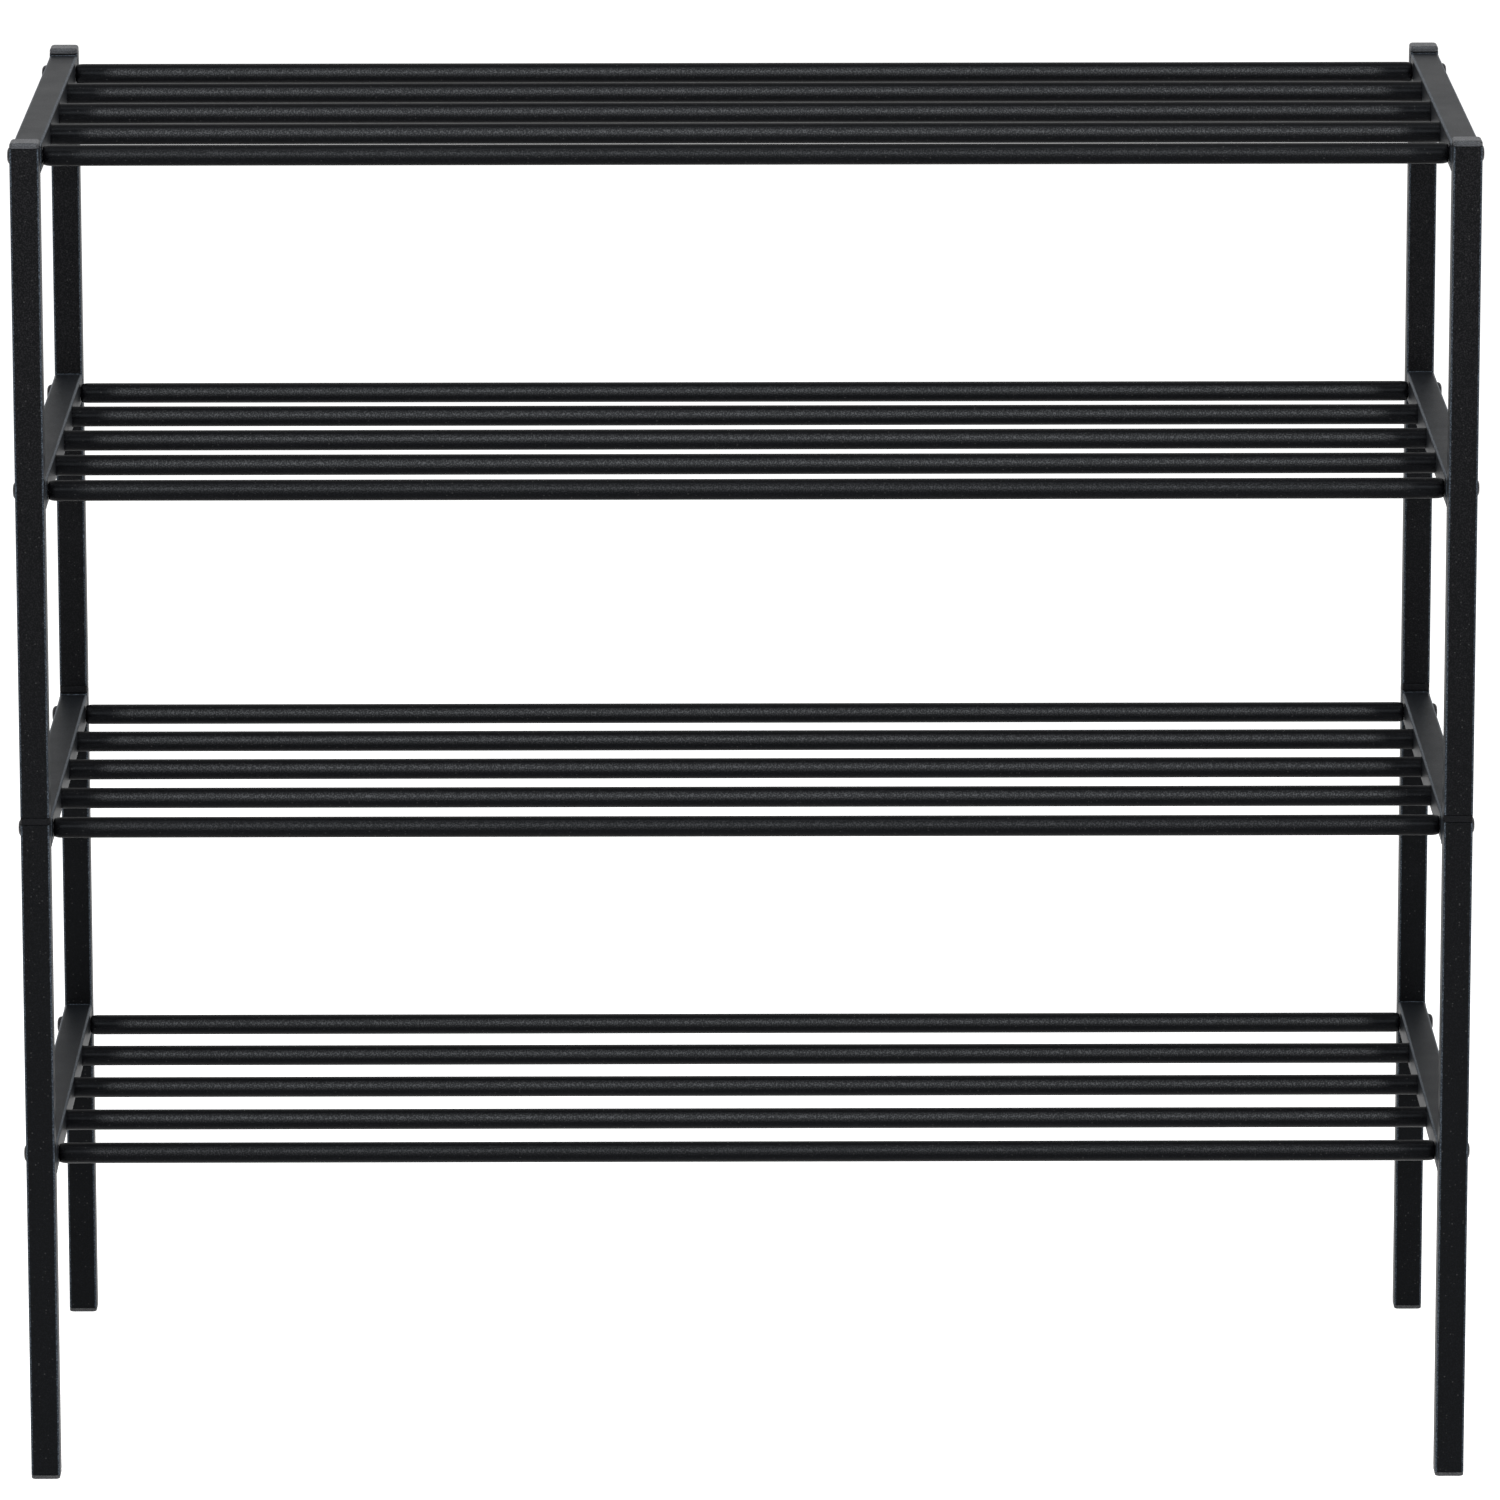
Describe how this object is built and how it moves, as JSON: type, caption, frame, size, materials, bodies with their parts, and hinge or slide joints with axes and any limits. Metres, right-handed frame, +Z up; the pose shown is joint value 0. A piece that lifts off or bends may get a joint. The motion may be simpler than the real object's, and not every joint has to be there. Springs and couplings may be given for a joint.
{
  "type": "tiered shoe rack",
  "caption": "Open tiered shoe rack: square-tube side frames in two stacked sections, joined by round steel rods that form slatted shelves.",
  "frame": {"origin": "middle of the footprint, at floor level", "axes": "+X along the rods to the right seen from the front, -Y towards the front, +Z up"},
  "size_m": [0.756, 0.325, 0.7085],
  "materials": {
    "frame_powder_coat": "satin black powder coat with fine orange peel",
    "rod_powder_coat": "satin black powder coat with fine orange peel",
    "black_bolt": "glossy black coating",
    "cap_plastic": "matte black",
    "foot_plastic": "matte black",
    "coupler_plastic": "matte black"
  },
  "bodies": {
    "root": {"lower_left_frame": "frame_powder_coat", "lower_right_frame": "frame_powder_coat", "upper_left_frame": "frame_powder_coat", "upper_right_frame": "frame_powder_coat", "tier_1_rod_1": "rod_powder_coat", "tier_1_rod_2": "rod_powder_coat", "tier_1_rod_3": "rod_powder_coat", "tier_1_rod_4": "rod_powder_coat", "tier_1_rod_5": "rod_powder_coat", "tier_1_front_left_bolt": "black_bolt", "tier_1_front_right_bolt": "black_bolt", "tier_1_rear_left_bolt": "black_bolt", "tier_1_rear_right_bolt": "black_bolt", "tier_2_rod_1": "rod_powder_coat", "tier_2_rod_2": "rod_powder_coat", "tier_2_rod_3": "rod_powder_coat", "tier_2_rod_4": "rod_powder_coat", "tier_2_rod_5": "rod_powder_coat", "tier_2_front_left_bolt": "black_bolt", "tier_2_front_right_bolt": "black_bolt", "tier_2_rear_left_bolt": "black_bolt", "tier_2_rear_right_bolt": "black_bolt", "tier_3_rod_1": "rod_powder_coat", "tier_3_rod_2": "rod_powder_coat", "tier_3_rod_3": "rod_powder_coat", "tier_3_rod_4": "rod_powder_coat", "tier_3_rod_5": "rod_powder_coat", "tier_3_front_left_bolt": "black_bolt", "tier_3_front_right_bolt": "black_bolt", "tier_3_rear_left_bolt": "black_bolt", "tier_3_rear_right_bolt": "black_bolt", "tier_4_rod_1": "rod_powder_coat", "tier_4_rod_2": "rod_powder_coat", "tier_4_rod_3": "rod_powder_coat", "tier_4_rod_4": "rod_powder_coat", "tier_4_rod_5": "rod_powder_coat", "tier_4_front_left_bolt": "black_bolt", "tier_4_front_right_bolt": "black_bolt", "tier_4_rear_left_bolt": "black_bolt", "tier_4_rear_right_bolt": "black_bolt", "front_left_top_cap": "cap_plastic", "front_left_foot": "foot_plastic", "front_left_coupler": "coupler_plastic", "front_right_top_cap": "cap_plastic", "front_right_foot": "foot_plastic", "front_right_coupler": "coupler_plastic", "rear_left_top_cap": "cap_plastic", "rear_left_foot": "foot_plastic", "rear_left_coupler": "coupler_plastic", "rear_right_top_cap": "cap_plastic", "rear_right_foot": "foot_plastic", "rear_right_coupler": "coupler_plastic"}
  },
  "joints": []
}
